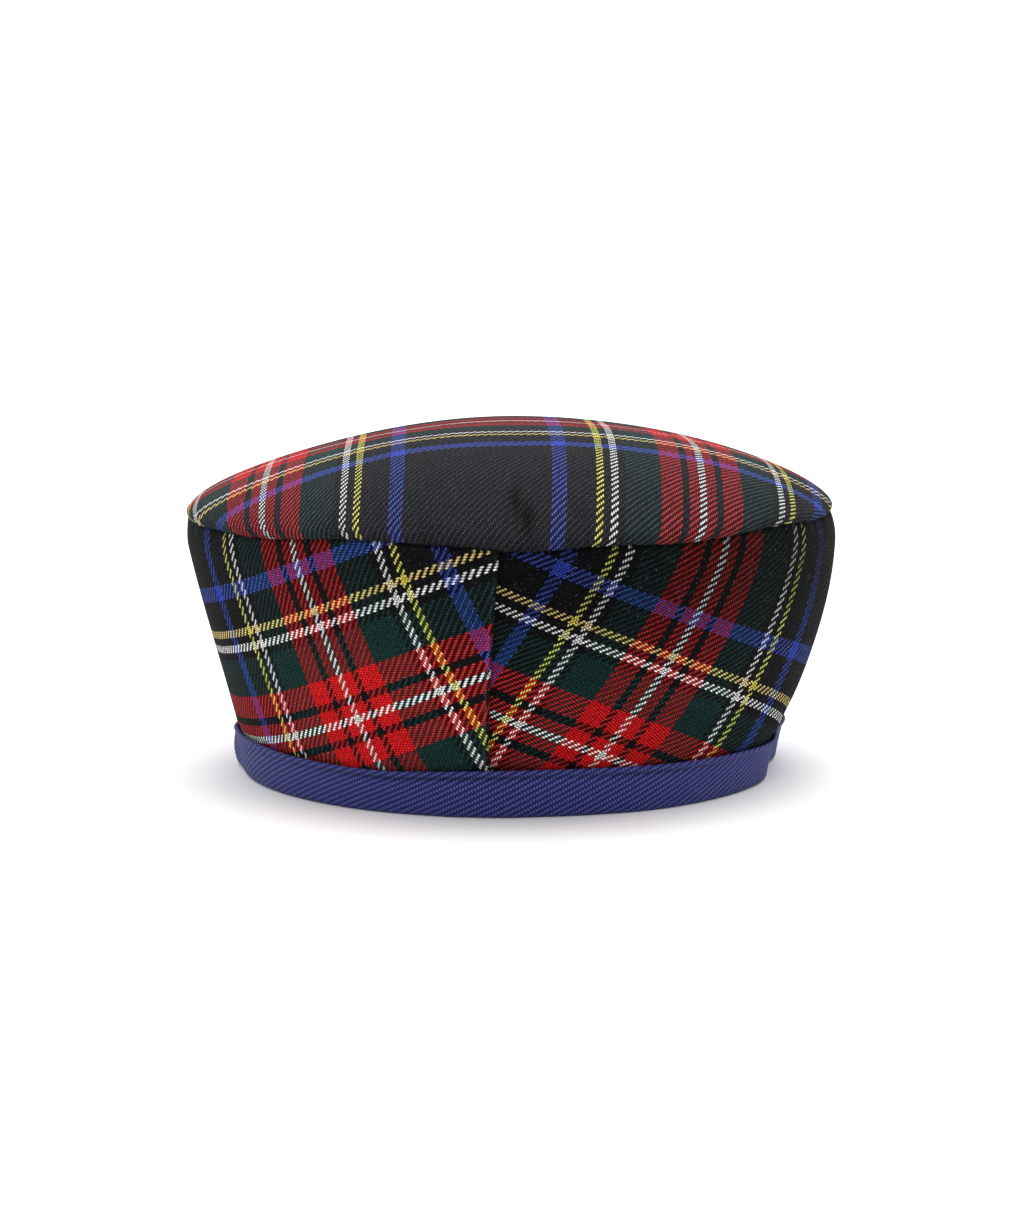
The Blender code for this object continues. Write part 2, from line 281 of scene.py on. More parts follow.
def leaned(azimuth, height):
    """The azimuths of points near the front seam, turned with the seam's lean."""
    rise = np.maximum((height - BAND_HEIGHT) / (SEAM_HEIGHT - BAND_HEIGHT), 0.0)
    away = np.abs(wrapped(azimuth - FRONT_SEAM_DEG)) / SEAM_LEAN_FADE_DEG
    return azimuth + SEAM_LEAN_DEG * rise**SEAM_LEAN_POWER * (1.0 - smooth_step(away))


def sewn(radius, azimuth, height, outward_extra=0.0):
    """Places of the sewn hat for radii, azimuths and heights of the plain round one."""
    radius, azimuth, height = np.broadcast_arrays(
        np.asarray(radius, float), np.asarray(azimuth, float), np.asarray(height, float)
    )
    up = np.clip(height / SEAM_HEIGHT, 0.0, 1.0)
    above = np.maximum(height - SEAM_HEIGHT, 0.0) / CROWN_RISE
    edge = np.where(above > 0.0, np.minimum(radius / SEAM_RADIUS, 1.0), 1.0)
    hem = 1.0 - smooth_step((height - BAND_HEIGHT) / (SEAM_HEIGHT - BAND_HEIGHT))
    outward = form_at(azimuth, "seam_out") * (1.0 - hem) * edge
    outward = outward + form_at(azimuth, "hem_out") * hem
    outward = outward + form_at(azimuth, "belly") * np.sin(np.pi * up**BELLY_SKEW)
    upward = form_at(azimuth, "seam_lift") * smooth_step(up) * (1.0 - above) ** 2
    crown_share = np.sin(np.pi * np.minimum(above, 1.0) ** CROWN_SKEW)
    upward = upward + form_at(azimuth, "crown_lift") * crown_share
    near_hem = np.exp(-(((height - BAND_HEIGHT) / BAND_HEIGHT) ** 2))
    upward = upward + form_at(azimuth, "hem_lift") * near_hem * np.minimum(
        height / BAND_HEIGHT, 1.0
    )
    inward = (dent_at(azimuth, height) + pucker_at(azimuth, height)) * edge
    moved = radius + outward * SEAM_RADIUS + outward_extra - inward
    moved = np.where(radius < CLOTH_GAP, radius, moved)
    lifted = height + np.where(radius < CLOTH_GAP, 0.0, upward * SEAM_RADIUS)
    turn = np.radians(azimuth)
    return np.stack([moved * np.sin(turn), -moved * np.cos(turn), lifted], axis=-1)


def band_radius(height):
    return BAND_FOOT_RADIUS + (BAND_TOP_RADIUS - BAND_FOOT_RADIUS) * height / BAND_HEIGHT


def side_radius(height):
    share = height / SEAM_HEIGHT
    cone = FOOT_RADIUS + (RIM_RADIUS - FOOT_RADIUS) * share
    tuck = np.maximum(share - TUCK_FROM, 0.0) / (1.0 - TUCK_FROM)
    cone = cone - TUCK_DEPTH * tuck * tuck
    covered = band_radius(height) - BAND_CLOTH - CLOTH_GAP
    out = smooth_step((height - BAND_HEIGHT - CLOTH_GAP) / HEM_STEP_HEIGHT)
    return covered + (cone - covered) * out


# ---------------------------------------------------------------------------
# Cloth walls.
# ---------------------------------------------------------------------------
def unit(vectors):
    return vectors / np.maximum(np.linalg.norm(vectors, axis=-1, keepdims=True), TINY)


def face_normals(points, joined):
    """Outward directions over a grid of rows and columns. joined says that the columns meet."""
    down = np.gradient(points, axis=0)
    if joined:
        along = (np.roll(points, -1, axis=1) - np.roll(points, 1, axis=1)) / 2.0
    else:
        along = np.gradient(points, axis=1)
    return unit(np.cross(down, along))


def round_section(values, pole=False):
    """Values for the rows of an outer face, carried on over the edge and the inner face.

    A second edge leads back to the first row, unless that row is the pole of a dome.
    """
    around = [*values, *[values[-1]] * (EDGE_STEPS - 1), *values[::-1]]
    if not pole:
        around += [values[0]] * (EDGE_STEPS - 1)
    return np.array(around)


def cloth_wall(outer, thickness, joined=False, pole=False):
    """The points of a wall of cloth whose outer face is a grid of rows and columns.

    They go round the cloth's section: its outer face from the first row to the last, a
    rounded edge, its inner face back, and a rounded edge again unless the first row is the
    pole of a dome. middle is the cloth's middle surface and offset leads from it to the
    points. skin, the second result, is the outer place whose threads each point shows.
    """
    normal = face_normals(outer, joined)
    if pole:
        normal[0] = unit(normal[1].mean(axis=0))
    half = np.broadcast_to(np.asarray(thickness, float) / 2.0, outer.shape[:2])[..., None]
    centre = outer - normal * half
    turns = [math.pi * step / EDGE_STEPS for step in range(1, EDGE_STEPS)]

    def edge(row, inner):
        past = unit(centre[row] - centre[inner])
        return [
            half[row] * (math.cos(turn) * normal[row] + math.sin(turn) * past) for turn in turns
        ]

    offset = [*(normal * half), *edge(-1, -2), *(-normal * half)[::-1]]
    if not pole:
        offset += edge(0, 1)[::-1]
    offset = np.array(offset)
    middle, skin = round_section(centre, pole), round_section(outer, pole)
    if joined:
        return middle + offset, skin
    size = np.linalg.norm(offset, axis=-1, keepdims=True)

    def rounded_end(column, inner):
        """Columns of points past an end of the cloth, closing on its middle surface."""
        past = unit(middle[:, column] - middle[:, inner])
        for turn in turns[:END_COLUMNS]:
            reach = math.sin(turn) * size[:, column] * past
            out = middle[:, column] + math.cos(turn) * offset[:, column] + reach
            yield out, skin[:, column] + reach

    flat = [(middle[:, k] + offset[:, k], skin[:, k]) for k in range(middle.shape[1])]
    columns, skins = zip(*[*rounded_end(0, 1)][::-1], *flat, *rounded_end(-1, -2))
    return np.stack(columns, axis=1), np.stack(skins, axis=1)


def cloth_piece(name, places, threads, tone, material, node, joined=False, pole=False):
    """A mesh piece from the points round its section, with its threads as an attribute.

    tone is the attribute's third number: below nothing it is painted shade, above it, on a fold's
    edge, wear with a painted highlight.
    """
    rows, columns = places.shape[:2]
    index = np.arange(rows * columns).reshape(rows, columns)
    below = index[1:] if pole else np.roll(index, -1, axis=0)
    above = index[:-1] if pole else index
    if joined:
        ahead, ahead_below = np.roll(above, -1, axis=1), np.roll(below, -1, axis=1)
    else:
        above, ahead = above[:, :-1], above[:, 1:]
        below, ahead_below = below[:, :-1], below[:, 1:]
    faces = np.stack([above, below, ahead_below, ahead], axis=-1).reshape(-1, 4)
    mesh = bpy.data.meshes.new(name)
    mesh.from_pydata(places.reshape(-1, 3).tolist(), [], faces.tolist())
    place = mesh.attributes.new("threads", "FLOAT_VECTOR", "POINT")
    tone = np.broadcast_to(tone, (rows, columns)).reshape(-1, 1)
    flat = np.concatenate([threads.reshape(-1, 2), tone], axis=1)
    place.data.foreach_set("vector", flat.astype(np.float32).ravel())
    work = bmesh.new()
    work.from_mesh(mesh)
    bmesh.ops.remove_doubles(work, verts=work.verts, dist=MERGE_DISTANCE)
    for face in [face for face in work.faces if face.calc_area() < TINY]:
        work.faces.remove(face)
    bmesh.ops.recalc_face_normals(work, faces=work.faces)
    for face in work.faces:
        face.smooth = True
    work.to_mesh(mesh)
    work.free()
    mesh.materials.append(material)
    piece = bpy.data.objects.new(name, mesh)
    bpy.context.scene.collection.objects.link(piece)
    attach(piece, BODY)
    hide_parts(node)
    return piece


# ---------------------------------------------------------------------------
# Where each thread of the cloth lies on the hat. The first number counts warp threads to the
# right and the second weft threads downward, and both start in the middle of a black stripe.
# ---------------------------------------------------------------------------
CROWN_REACH_MM = 80.0
CROWN_POWERS = ((2, 0), (1, 1), (0, 2), (3, 0), (2, 1), (1, 2), (0, 3))
CROWN_CUT = {
    "turn_deg": 2.33,
    "warp_start": 22.0,
    "weft_start": 147.9,
    "warp_mm": 0.585,
    "weft_mm": 0.611,
    "warp_drift": (-0.7, -1.6, 1.5, 3.9, -0.4, 0.7, -0.5),
    "weft_drift": (-7.6, 1.4, 1.6, -5.2, 2.1, -2.1, -1.6),
    "warp_ease": (-0.8, 0.5, -5.1, 0.8),
    "weft_ease": (0.2, -5.4, 1.3, 7.7),
}
# The crown's edge is eased on to the seam, so the threads are pulled there, by the sine and
# cosine of the azimuth and of twice the azimuth.
CROWN_RIM_MM = 115.0
CROWN_EASE_POWER = 8


def crown_threads(length_mm, azimuth):
    """The crown is cut flat, and lies on the hat as far from its middle as it did when flat."""
    cut = CROWN_CUT
    angle = np.radians(azimuth) - math.radians(cut["turn_deg"])
    east = length_mm * np.sin(angle)
    north = -length_mm * np.cos(angle)
    a, b = east / CROWN_REACH_MM, north / CROWN_REACH_MM
    warp = cut["warp_start"] + east / cut["warp_mm"]
    weft = cut["weft_start"] + north / cut["weft_mm"]
    for powers, warp_pull, weft_pull in zip(CROWN_POWERS, cut["warp_drift"], cut["weft_drift"]):
        pull = a ** powers[0] * b ** powers[1]
        warp = warp + warp_pull * pull
        weft = weft + weft_pull * pull
    around = np.radians(azimuth)
    waves = (np.sin(around), np.cos(around), np.sin(2.0 * around), np.cos(2.0 * around))
    edge = np.minimum(length_mm / CROWN_RIM_MM, 1.0) ** CROWN_EASE_POWER
    for wave, warp_pull, weft_pull in zip(waves, cut["warp_ease"], cut["weft_ease"]):
        warp = warp + warp_pull * wave * edge
        weft = weft + weft_pull * wave * edge
    return np.stack([warp, -weft], axis=-1)


# Each side panel is cut flat too, so its threads lie straight on the unrolled cone. The drifts
# are how the sewing pulls them, as threads by powers of the azimuth and height from its middle.
PANEL_MIDDLE_MM = 45.0
PANEL_REACH_MM = 40.0
PANEL_REACH_DEG = 45.0
DRIFT_POWERS = ((1, 0), (2, 0), (1, 1), (0, 2), (3, 0), (2, 1), (1, 2))
LEFT_CUT = {
    "middle_deg": -45.0,
    "straight_deg": -107.8,
    "slope": 0.240,
    "apex_mm": -388.0,
    "warp_start": -105.1,
    "weft_start": 62.9,
    "warp_mm": 0.601,
    "weft_mm": 0.634,
    "warp_drift": (-0.6, -13.2, -1.6, -2.5, 2.1, 0.0, 1.0),
    "weft_drift": (1.6, 1.9, 1.9, 0.5, -6.0, -4.4, 0.5),
}
RIGHT_CUT = {
    "middle_deg": 40.0,
    "straight_deg": 151.8,
    "slope": 0.217,
    "apex_mm": -320.0,
    "warp_start": 407.9,
    "weft_start": 9.8,
    "warp_mm": 0.599,
    "weft_mm": 0.615,
    "warp_drift": (-0.6, -9.5, 3.5, 7.3, 8.4, -0.5, 8.3),
    "weft_drift": (0.9, 1.0, 7.7, -1.7, 4.0, 7.7, 0.0),
}


def levelled(share):
    """The same share within one, easing to a limit beyond it."""
    over = np.maximum(np.abs(share) - 1.0, 0.0)
    ease = 0.35
    return np.sign(share) * (np.minimum(np.abs(share), 1.0) + ease * (1.0 - np.exp(-over / ease)))


def panel_threads(skin, cut, azimuth):
    height = skin[..., 2] / MM
    upright = math.sqrt(1.0 - cut["slope"] ** 2)
    slant = (height - cut["apex_mm"]) / upright
    angle = np.radians(wrapped(azimuth - cut["straight_deg"])) * cut["slope"]
    east = slant * np.sin(angle)
    north = slant * np.cos(angle) - (PANEL_MIDDLE_MM - cut["apex_mm"]) / upright
    a = levelled(wrapped(azimuth - cut["middle_deg"]) / PANEL_REACH_DEG)
    b = (height - PANEL_MIDDLE_MM) / PANEL_REACH_MM
    warp = cut["warp_start"] + east / cut["warp_mm"]
    weft = cut["weft_start"] - north / cut["weft_mm"]
    for powers, warp_pull, weft_pull in zip(DRIFT_POWERS, cut["warp_drift"], cut["weft_drift"]):
        pull = a ** powers[0] * b ** powers[1]
        warp = warp + warp_pull * pull
        weft = weft + weft_pull * pull
    return np.stack([warp, weft], axis=-1)


# ---------------------------------------------------------------------------
# Materials.
# ---------------------------------------------------------------------------
def new_material(name, record_slot):
    material = bpy.data.materials.new(name)
    material.use_nodes = True
    material.node_tree.nodes.clear()
    material["record_slot"] = record_slot
    return material


def wandering_threads(tree, scale, reach):
    """Where each point lies in threads: as it was cut, and with the yarns' slight wander."""
    lie = add(tree, "ShaderNodeAttribute", attribute_name="threads").outputs[1]
    wander = add(tree, "ShaderNodeTexNoise", {"Vector": lie, "Scale": scale, "Detail": 1.0})
    centred = add(
        tree,
        "ShaderNodeVectorMath",
        {0: wander.outputs[1], 1: (0.5, 0.5, 0.5)},
        operation="SUBTRACT",
    )
    eased = add(
        tree,
        "ShaderNodeVectorMath",
        {0: centred.outputs[0], 1: (reach, reach, 0.0), 2: lie},
        operation="MULTIPLY_ADD",
    )
    return lie, eased.outputs[0]


def cloth_surface(tree, colour, relief, depth, finish):
    """The cloth's surface, from its colour, its relief with its depth, and its finish."""
    bump = add(tree, "ShaderNodeBump", {"Strength": 1.0, "Distance": depth, "Height": relief})
    shader = add(
        tree,
        "ShaderNodeBsdfPrincipled",
        {"Base Color": colour, "Normal": bump.outputs[0], **finish},
    )
    add(tree, "ShaderNodeOutputMaterial", {0: shader.outputs[0]})


# How much of its height a yarn loses toward its two sides, and toward the ends of each float.
YARN_ROUND = 0.7
YARN_ARCH = 0.85


def twill(tree, threads, over, under):
    """The yarns of a twill: which is on top, how high it stands, and its count each way.

    The warp goes over some wefts and under others, one step along for each warp thread, so the
    floats climb in diagonals to the right.
    """
    split = add(tree, "ShaderNodeSeparateXYZ", {0: threads})
    known = {"u": split.outputs[0], "v": split.outputs[1], "tone": split.outputs[2]}
    repeat = over + under
    for name, operation, *terms in (
        ("warp_end", "FLOOR", "u"),
        ("weft_pick", "FLOOR", "v"),
        ("across_warp", "FRACT", "u"),
        ("across_weft", "FRACT", "v"),
        ("step", "ADD", "warp_end", "weft_pick"),
        ("phase", "FLOORED_MODULO", "step", repeat),
        ("weft_up", "GREATER_THAN", "phase", over - 0.5),
        # How far along its float the yarn on top is here, from nothing to one.
        ("down_float", "ADD", "phase", "across_weft"),
        ("down_float", "DIVIDE", "down_float", over),
        ("along_float", "ADD", "phase", "across_warp"),
        ("along_float", "SUBTRACT", "along_float", over),
        ("along_float", "DIVIDE", "along_float", under),
        # The yarn on top: its round section and its arch over the yarns below.
        ("across", "SUBTRACT", "across_weft", "across_warp"),
        ("across", "MULTIPLY_ADD", "across", "weft_up", "across_warp"),
        ("along", "SUBTRACT", "along_float", "down_float"),
        ("along", "MULTIPLY_ADD", "along", "weft_up", "down_float"),
        ("across_rest", "SUBTRACT", 1.0, "across"),
        ("along_rest", "SUBTRACT", 1.0, "along"),
        ("round", "MULTIPLY", "across", "across_rest"),
        ("round", "MULTIPLY_ADD", "round", 4.0 * YARN_ROUND, 1.0 - YARN_ROUND),
        ("arch", "MULTIPLY", "along", "along_rest"),
        ("arch", "MULTIPLY_ADD", "arch", 4.0 * YARN_ARCH, 1.0 - YARN_ARCH),
        ("height", "MULTIPLY", "round", "arch"),
    ):
        feeds = {place: known.get(term, term) for place, term in enumerate(terms)}
        made = add(tree, "ShaderNodeMath", feeds, operation=operation, label=name)
        known[name] = made.outputs[0]
    return known


# Half of the tartan's sett in threads, from the middle of the wide black to the middle of the
# red, each stripe by the thread that it starts at. The sett turns back at both ends.
HALF_SETT = 124.0
SETT = (
    (0, BLACK),
    (40, BLUE),
    (48, BLACK),
    (64, "yellow"),
    (68, BLACK),
    (72, WHITE),
    (76, BLACK),
    (80, GREEN),
    (100, RED),
    (112, BLACK),
    (116, RED),
    (122, WHITE),
)


def sett_colour(tree, thread, yellow):
    """The dyed colour of a thread by its number, from the sett."""
    middle = add(tree, "ShaderNodeMath", {0: thread, 1: 0.5}, operation="ADD")
    back = add(tree, "ShaderNodeMath", {0: middle.outputs[0], 1: HALF_SETT}, operation="PINGPONG")
    share = add(tree, "ShaderNodeMath", {0: back.outputs[0], 1: HALF_SETT}, operation="DIVIDE")
    ramp = add(tree, "ShaderNodeValToRGB", {0: share.outputs[0]})
    ramp.color_ramp.interpolation = "CONSTANT"
    for number, (start, colour) in enumerate(SETT):
        if number < 2:
            stop = ramp.color_ramp.elements[number]
            stop.position = start / HALF_SETT
        else:
            stop = ramp.color_ramp.elements.new(start / HALF_SETT)
        stop.color = linear(yellow if colour == "yellow" else colour)
    return ramp.outputs[0]


# A Mix node's sockets, by number because their names repeat: how much of the second, the two
# numbers, the two colours, and the mixed number and colour.
SHARE, NUMBER_A, NUMBER_B, COLOUR_A, COLOUR_B = 0, 2, 3, 6, 7
MIXED_NUMBER, MIXED_COLOUR = 0, 2

# Sizes of the worsted's small marks. The scales are cycles for each thread, and the wander comes
# to about a seventh of a thread.
WORSTED_WANDER_SCALE = 0.16
WORSTED_WANDER = 0.7
WORSTED_RELIEF = 0.00016
YARN_SHADE_ACROSS = 1.3
YARN_SHADE_ALONG = 0.07
FIBRE_SCALE = 1.9
FIBRE_RELIEF = 0.35
# Their contrast, each with the value at its darkest: yarns from crest to groove, one yarn beside
# another, and the fibre ends.
CREST_LIGHT, GROOVE_LIGHT = 1.3, 0.06
YARN_CONTRAST, YARN_DARKEST = 1.6, 0.2
ENDS_CONTRAST, ENDS_DARKEST = 3.2, -0.6
# The painted sheen on the warp's floats and the weft's, and how much a fold's edge adds with its
# wear and painted highlight.
WARP_PAINTED_SHEEN, WEFT_PAINTED_SHEEN = 1.42, 0.42
FOLD_PAINTED_SHEEN = 0.5
LINT_SCALE = 0.75
LINT_FROM = 0.61
LINT_FULL = 0.73
LINT_AMOUNT = 0.34


def tartan_cloth(name, record_slot, painted_sheen_share, shared_hue, warp_crest, weft_crest):
    """Worsted tartan: fine combed wool, dyed as yarn and woven in a two and two twill.

    It gives the eye crisp stripes, a mix of both colours in fine diagonals where they cross,
    a dull surface with a grey haze of fibre ends painted on as sheen, and specks of pale lint
    on the black. nap is the share of that painted sheen, more on the crown, which faces the
    light, and shared_hue the share of their hue that crossing yarns give each other. The two
    crests are how narrow the lit top of each way's yarns looks, with painted shade beside it.
    """
    material = new_material(name, record_slot)
    tree = material.node_tree
    lie, threads = wandering_threads(tree, WORSTED_WANDER_SCALE, WORSTED_WANDER)
    weave = twill(tree, threads, over=2.0, under=2.0)
    warp = sett_colour(tree, weave["warp_end"], LEMON)
    weft = sett_colour(tree, weave["weft_pick"], GOLD)
    # A yarn takes on much of the hue of the yarn that it crosses, through the loose fibres of
    # both, and keeps its own lightness. This is worked out in colours as the eye grades them.
    warp = add(tree, "ShaderNodeGamma", {0: warp, 1: 1.0 / EYE_GAMMA}).outputs[0]
    weft = add(tree, "ShaderNodeGamma", {0: weft, 1: 1.0 / EYE_GAMMA}).outputs[0]
    pure, both = (
        add(
            tree,
            "ShaderNodeMix",
            {SHARE: share, COLOUR_A: warp, COLOUR_B: weft},
            data_type="RGBA",
        ).outputs[MIXED_COLOUR]
        for share in (weave["weft_up"], 0.5)
    )
    own_light = add(tree, "ShaderNodeRGBToBW", {0: pure})
    both_light = add(tree, "ShaderNodeRGBToBW", {0: both})
    lift = add(
        tree,
        "ShaderNodeMath",
        {0: own_light.outputs[0], 1: both_light.outputs[0]},
        operation="SUBTRACT",
    )
    hued = add(tree, "ShaderNodeVectorMath", {0: both, 1: lift.outputs[0]}, operation="ADD")
    graded = add(
        tree,
        "ShaderNodeMix",
        {SHARE: shared_hue, COLOUR_A: pure, COLOUR_B: hued.outputs[0]},
        data_type="RGBA",
    )
    held = add(
        tree,
        "ShaderNodeVectorMath",
        {0: graded.outputs[MIXED_COLOUR], 1: (0.0, 0.0, 0.0)},
        operation="MAXIMUM",
    )
    dyed = add(tree, "ShaderNodeGamma", {0: held.outputs[0], 1: EYE_GAMMA})
    # Each yarn is a little lighter or darker, along short lengths of it.
    shades = []
    for stretch in (
        (YARN_SHADE_ACROSS, YARN_SHADE_ALONG, 0.0),
        (YARN_SHADE_ALONG, YARN_SHADE_ACROSS, 0.0),
    ):
        drawn = add(tree, "ShaderNodeVectorMath", {0: threads, 1: stretch}, operation="MULTIPLY")
        cloud = {"Vector": drawn.outputs[0], "Scale": 1.0, "Detail": 1.0}
        shades.append(add(tree, "ShaderNodeTexNoise", cloud).outputs[0])
    shade = add(
        tree,
        "ShaderNodeMix",
        {SHARE: weave["weft_up"], NUMBER_A: shades[0], NUMBER_B: shades[1]},
    )
    # Fibre ends: fine, and drawn to the size of half a thread.
    fibre = add(
        tree,
        "ShaderNodeTexNoise",
        {"Vector": lie, "Scale": FIBRE_SCALE, "Detail": 3.0, "Roughness": 0.7},
    )
    known = {
        "shade": shade.outputs[MIXED_NUMBER],
        "height": weave["height"],
        "fibre": fibre.outputs[0],
        "tone": weave["tone"],
        "weft_up": weave["weft_up"],
    }
    for step, operation, *terms in (
        # The grooves between yarns hold shadow, painted into the colour.
        ("narrow", "MULTIPLY_ADD", "weft_up", weft_crest - warp_crest, warp_crest),
        ("crest", "POWER", "height", "narrow"),
        ("light", "MULTIPLY_ADD", "crest", CREST_LIGHT, GROOVE_LIGHT),
        ("yarn", "MULTIPLY_ADD", "shade", YARN_CONTRAST, YARN_DARKEST),
        ("light", "MULTIPLY", "light", "yarn"),
        ("ends", "MULTIPLY_ADD", "fibre", ENDS_CONTRAST, ENDS_DARKEST),
        ("light", "MULTIPLY", "light", "ends"),
        # Below nothing the tone is painted shade; above it, on a fold's edge, it is wear with a
        # painted highlight.
        ("painted_shade", "MINIMUM", "tone", 0.0),
        ("painted_shade", "ADD", "painted_shade", 1.0),
        ("light", "MULTIPLY", "light", "painted_shade"),
        ("wear_and_highlight", "MAXIMUM", "tone", 0.0),
        # A painted sheen of grey fibre ends on the yarns' crests, more on a fold's edge.
        ("painted_sheen", "MULTIPLY_ADD", "wear_and_highlight", FOLD_PAINTED_SHEEN, painted_sheen_share),
        ("painted_sheen", "MULTIPLY", "painted_sheen", "crest"),
        # Painted sheen, more on the warp's floats than on the weft's, as they catch more of the
        # light, which draws the twill's ridges.
        ("painted_float_sheen", "MULTIPLY_ADD", "weft_up", WEFT_PAINTED_SHEEN - WARP_PAINTED_SHEEN, WARP_PAINTED_SHEEN),
        ("painted_sheen", "MULTIPLY", "painted_sheen", "painted_float_sheen"),
        ("painted_sheen", "MULTIPLY", "painted_sheen", "ends"),
        ("painted_sheen", "MULTIPLY", "painted_sheen", "yarn"),
        ("painted_sheen", "MULTIPLY", "painted_sheen", "painted_shade"),
        ("relief", "MULTIPLY_ADD", "fibre", FIBRE_RELIEF, "height"),
    ):
        feeds = {place: known.get(term, term) for place, term in enumerate(terms)}
        made = add(tree, "ShaderNodeMath", feeds, operation=operation, label=step)
        known[step] = made.outputs[0]
    shaded = add(
        tree,
        "ShaderNodeMix",
        {SHARE: 1.0, COLOUR_A: dyed.outputs[0], COLOUR_B: known["light"]},
        data_type="RGBA",
        blend_type="MULTIPLY",
    )
    # Pale lint, in specks of half a millimetre.
    specks = add(
        tree,
        "ShaderNodeTexNoise",
        {"Vector": lie, "Scale": LINT_SCALE, "Detail": 4.0, "Roughness": 0.75},
    )
    lint = add(
        tree,
        "ShaderNodeMapRange",
        {
            "Value": specks.outputs[0],
            "From Min": LINT_FROM,
            "From Max": LINT_FULL,
            "To Min": 0.0,
            "To Max": LINT_AMOUNT,
        },
    )
    # The lint and the painted sheen mix in the same grey.
    pale = add(tree, "ShaderNodeMath", {0: lint.outputs[0], 1: known["painted_sheen"]}, operation="ADD")
    with_lint_and_sheen = add(
        tree,
        "ShaderNodeMix",
        {
            SHARE: pale.outputs[0],
            COLOUR_A: shaded.outputs[MIXED_COLOUR],
            COLOUR_B: linear(LINT_AND_SHEEN_GREY),
        },
        data_type="RGBA",
    )
    cloth_surface(
        tree,
        with_lint_and_sheen.outputs[MIXED_COLOUR],
        known["relief"],
        WORSTED_RELIEF,
        {
            "Roughness": 0.85,
            "Specular IOR Level": 0.03,
            "Sheen Weight": 0.012,
            "Sheen Roughness": 0.5,
        },
    )
    return material


# The twill strip's yarns are smoother and thicker, and run truer.
TWILL_WANDER_SCALE = 0.3
TWILL_WANDER = 0.5
TWILL_RELIEF = 0.00022
TWILL_NAVY_HEIGHT = 0.55
TWILL_FIBRE_SCALE = 1.4
TWILL_FIBRE_RELIEF = 0.25
TWILL_CONTRAST, TWILL_DARKEST = 0.6, 0.7


def headband_twill(record_slot):
    """Cotton twill: thick smooth yarns in a three and one twill, dyed navy in the piece.

    It gives the eye rows of small bright knuckles that climb to the right, each a warp float,
    with deep blue lines between the rows.
    """
    material = new_material("cotton_twill_navy", record_slot)
    tree = material.node_tree
    lie, threads = wandering_threads(tree, TWILL_WANDER_SCALE, TWILL_WANDER)
    weave = twill(tree, threads, over=3.0, under=1.0)
    # One navy dye, painted from shade in the grooves to a highlight on each crest, and in shade
    # on the weft.
    knuckles = add(tree, "ShaderNodeValToRGB", {0: weave["height"]})
    stops = knuckles.color_ramp.elements
    stops[0].color = linear(TWILL_SHADE)
    stops[1].color = linear(TWILL_CREST_HIGHLIGHT)
    stops.new(TWILL_NAVY_HEIGHT).color = linear(TWILL_NAVY)
    grooved = add(
        tree,
        "ShaderNodeMix",
        {SHARE: weave["weft_up"], COLOUR_A: knuckles.outputs[0], COLOUR_B: linear(TWILL_WEFT_SHADE)},
        data_type="RGBA",
    )
    fibre = add(
        tree,
        "ShaderNodeTexNoise",
        {"Vector": lie, "Scale": TWILL_FIBRE_SCALE, "Detail": 3.0, "Roughness": 0.7},
    )
    known = {"fibre": fibre.outputs[0], "tone": weave["tone"], "height": weave["height"]}
    # The tone paints shade into the crease under the rolled edge.
    for step, operation, *terms in (
        ("painted_shade", "ADD", "tone", 1.0),
        ("light", "MULTIPLY_ADD", "fibre", TWILL_CONTRAST, TWILL_DARKEST),
        ("light", "MULTIPLY", "light", "painted_shade"),
        ("relief", "MULTIPLY_ADD", "fibre", TWILL_FIBRE_RELIEF, "height"),
    ):
        feeds = {place: known.get(term, term) for place, term in enumerate(terms)}
        made = add(tree, "ShaderNodeMath", feeds, operation=operation, label=step)
        known[step] = made.outputs[0]
    shaded = add(
        tree,
        "ShaderNodeMix",
        {SHARE: 1.0, COLOUR_A: grooved.outputs[MIXED_COLOUR], COLOUR_B: known["light"]},
        data_type="RGBA",
        blend_type="MULTIPLY",
    )
    cloth_surface(
        tree,
        shaded.outputs[MIXED_COLOUR],
        known["relief"],
        TWILL_RELIEF,
        {
            "Roughness": 0.7,
            "Specular IOR Level": 0.2,
            "Sheen Weight": 0.04,
            "Sheen Roughness": 0.5,
        },
    )
    return material


def floor_paper():
    """A matte paper sweep: pressed and unglazed, so it is even and shows soft shadows only."""
    material = bpy.data.materials.new("matte_paper_floor")
    material.use_nodes = True
    shader = material.node_tree.nodes["Principled BSDF"]
    shader.inputs["Base Color"].default_value = linear(PAPER)
    shader.inputs["Roughness"].default_value = 1.0
    shader.inputs["Specular IOR Level"].default_value = 0.0
    return material


# ---------------------------------------------------------------------------
# Pieces.
# ---------------------------------------------------------------------------
# The crown's edge rolls out a little over the wall: how far, and over what height.
RIM_ROLL = 0.0003
RIM_ROLL_REACH = 0.0035
# The crown's edge is drawn down a little by each few stitches: waves round the hat and amount.
STITCH_WAVES = ((61, 0.00010), (97, 0.00010), (143, 0.00009), (181, 0.00007))
STITCH_REACH = 0.0012
# Painted shade on the wall's upper half: the wall leans out over its own lower half, which throws
# its upper half into shade, more so at the right, away from the brighter wall of the room.
WALL_SHADE = 0.36
WALL_SHADE_TURN = 0.28
WALL_SHADE_FROM = 0.040
WALL_SHADE_RISE = 0.034
# Painted shade in the groove of a seam: on the wall, on the crown's edge, and in a pucker's
# hollow, for each millimetre that it is deep.
SEAM_PAINTED_SHADE = 0.35
DITCH_REACH = 0.0008
EDGE_PAINTED_SHADE = 0.38
EDGE_REACH = 0.0018
HOLLOW_PAINTED_SHADE = 0.32


